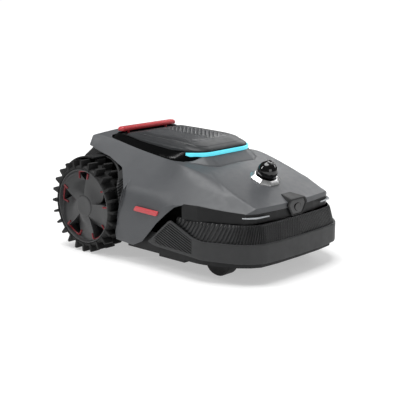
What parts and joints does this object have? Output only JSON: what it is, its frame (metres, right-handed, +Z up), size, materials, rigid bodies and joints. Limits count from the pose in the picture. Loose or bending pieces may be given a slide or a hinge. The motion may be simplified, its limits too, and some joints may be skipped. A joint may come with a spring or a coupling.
{
  "type": "robotic lawn mower",
  "caption": "Robotic lawn mower with ribbed bumper, lugged drive wheels, swivel casters, a hinged lid over its controls and a height-adjustable cutting deck with swinging blades.",
  "frame": {"origin": "on the ground under the middle of the overall box", "axes": "+X forward towards the bumper, +Y the mower's left, +Z up"},
  "size_m": [0.572, 0.41, 0.27],
  "materials": {
    "shell_paint": "satin",
    "black_plastic": "matte",
    "gloss_black": "gloss",
    "lid_gloss": "satin gloss",
    "lid_ribbed": "satin",
    "wheel_plastic": "satin",
    "tyre": "matte",
    "caster_rubber": "matte",
    "red_plastic": "satin",
    "strip_light": "gloss",
    "clear_lens": "gloss",
    "dome_black": "gloss",
    "bezel_silver": "polished",
    "steel": "brushed",
    "contact_metal": "satin",
    "circuit_board": "satin",
    "button_grey": "satin",
    "motor_metal": "satin"
  },
  "bodies": {
    "chassis": {"chassis_tub": "black_plastic", "rear_housing": "black_plastic", "upper_shell": "shell_paint", "wheel_arch_liner_right": "black_plastic", "wheel_arch_liner_left": "black_plastic", "side_louvres": "black_plastic", "side_badges": "red_plastic", "control_bay": "gloss_black", "apron_panel": "shell_paint", "light_strip": "strip_light", "lid_hinge_pin": "steel", "control_panel": "black_plastic", "display_window": "gloss_black", "lidar_bezel": "bezel_silver", "lidar_dome": "dome_black", "camera_housing": "gloss_black", "camera_face": "black_plastic", "camera_lens": "dome_black", "hood_lip": "gloss_black", "corner_lenses": "clear_lens", "battery_pack": "black_plastic", "battery_cover": "black_plastic", "main_board": "circuit_board", "drive_motor_right": "motor_metal", "drive_motor_left": "motor_metal", "deck_guides": "steel", "charging_contacts": "contact_metal"},
    "bumper": {"bumper_shell": "shell_paint", "bumper_grille": "black_plastic", "bumper_guides": "steel"},
    "lid": {"lid_shell": "lid_gloss", "lid_insert": "lid_ribbed"},
    "stop_bar": {"stop_bar": "red_plastic"},
    "deck": {"cutting_deck": "black_plastic", "cutting_motor": "motor_metal"},
    "height_knob": {"height_knob": "red_plastic", "lift_screw": "steel"},
    "blade_disc": {"blade_disc": "wheel_plastic", "blade_screws": "steel"},
    "blade_a": {"blade_a": "steel"},
    "blade_b": {"blade_b": "steel"},
    "blade_c": {"blade_c": "steel"},
    "drive_wheel_right": {"wheel_hub_right": "wheel_plastic", "tyre_right": "tyre", "hub_cap_right": "wheel_plastic", "wheel_axle_right": "steel"},
    "caster_right": {"caster_fork_right": "black_plastic", "caster_axle_right": "steel"},
    "caster_wheel_right": {"caster_wheel_right": "caster_rubber"},
    "drive_wheel_left": {"wheel_hub_left": "wheel_plastic", "tyre_left": "tyre", "hub_cap_left": "wheel_plastic", "wheel_axle_left": "steel"},
    "caster_left": {"caster_fork_left": "black_plastic", "caster_axle_left": "steel"},
    "caster_wheel_left": {"caster_wheel_left": "caster_rubber"},
    "power_button": {"power_button": "red_plastic"},
    "home_button": {"home_button": "button_grey"},
    "start_button": {"start_button": "button_grey"},
    "ok_button": {"ok_button": "button_grey"}
  },
  "joints": [
    {"name": "right_wheel_spin", "type": "hinge", "parent": "chassis", "child": "drive_wheel_right", "pos_m": [-0.176, -0.175, 0.104], "axis": [0, 1, 0], "continuous": true},
    {"name": "right_caster_swivel", "type": "hinge", "parent": "chassis", "child": "caster_right", "pos_m": [0.182, -0.12, 0.08], "axis": [0, 0, 1], "continuous": true},
    {"name": "right_caster_roll", "type": "hinge", "parent": "caster_right", "child": "caster_wheel_right", "pos_m": [0.168, -0.12, 0.033], "axis": [0, 1, 0], "continuous": true},
    {"name": "left_wheel_spin", "type": "hinge", "parent": "chassis", "child": "drive_wheel_left", "pos_m": [-0.176, 0.175, 0.104], "axis": [0, 1, 0], "continuous": true},
    {"name": "left_caster_swivel", "type": "hinge", "parent": "chassis", "child": "caster_left", "pos_m": [0.182, 0.12, 0.08], "axis": [0, 0, 1], "continuous": true},
    {"name": "left_caster_roll", "type": "hinge", "parent": "caster_left", "child": "caster_wheel_left", "pos_m": [0.168, 0.12, 0.033], "axis": [0, 1, 0], "continuous": true},
    {"name": "bumper_press", "type": "slide", "parent": "chassis", "child": "bumper", "axis": [-1, 0, 0], "range_m": [0, 0.006], "stiffness_N_per_m": 1500},
    {"name": "lid_open", "type": "hinge", "parent": "chassis", "child": "lid", "pos_m": [-0.147, 0, 0.2531], "axis": [0, -1, 0], "range_deg": [0, 70]},
    {"name": "stop_press", "type": "slide", "parent": "chassis", "child": "stop_bar", "axis": [0, 0, -1], "range_m": [0, 0.003], "stiffness_N_per_m": 2500},
    {"name": "deck_lift", "type": "slide", "parent": "chassis", "child": "deck", "axis": [0, 0, 1], "range_m": [-0.02, 0.02]},
    {"name": "knob_turn", "type": "hinge", "parent": "chassis", "child": "height_knob", "pos_m": [-0.057, 0, 0.22], "axis": [0, 0, 1], "range_deg": [-136, 136]},
    {"name": "disc_spin", "type": "hinge", "parent": "deck", "child": "blade_disc", "pos_m": [0.023, 0, 0.044], "axis": [0, 0, 1], "continuous": true},
    {"name": "blade_a_swing", "type": "hinge", "parent": "blade_disc", "child": "blade_a", "pos_m": [0.059, 0.06235, 0.042], "axis": [0, 0, 1], "continuous": true},
    {"name": "blade_b_swing", "type": "hinge", "parent": "blade_disc", "child": "blade_b", "pos_m": [-0.049, 0, 0.042], "axis": [0, 0, 1], "continuous": true},
    {"name": "blade_c_swing", "type": "hinge", "parent": "blade_disc", "child": "blade_c", "pos_m": [0.059, -0.06235, 0.042], "axis": [0, 0, 1], "continuous": true},
    {"name": "power_press", "type": "slide", "parent": "chassis", "child": "power_button", "axis": [0, 0, -1], "range_m": [0, 0.001], "stiffness_N_per_m": 800},
    {"name": "home_press", "type": "slide", "parent": "chassis", "child": "home_button", "axis": [0, 0, -1], "range_m": [0, 0.001], "stiffness_N_per_m": 800},
    {"name": "start_press", "type": "slide", "parent": "chassis", "child": "start_button", "axis": [0, 0, -1], "range_m": [0, 0.001], "stiffness_N_per_m": 800},
    {"name": "ok_press", "type": "slide", "parent": "chassis", "child": "ok_button", "axis": [0, 0, -1], "range_m": [0, 0.001], "stiffness_N_per_m": 800}
  ],
  "couplings": [
    {"joint": "knob_turn", "follows": "deck_lift", "rad_per_m": 117.8}
  ]
}
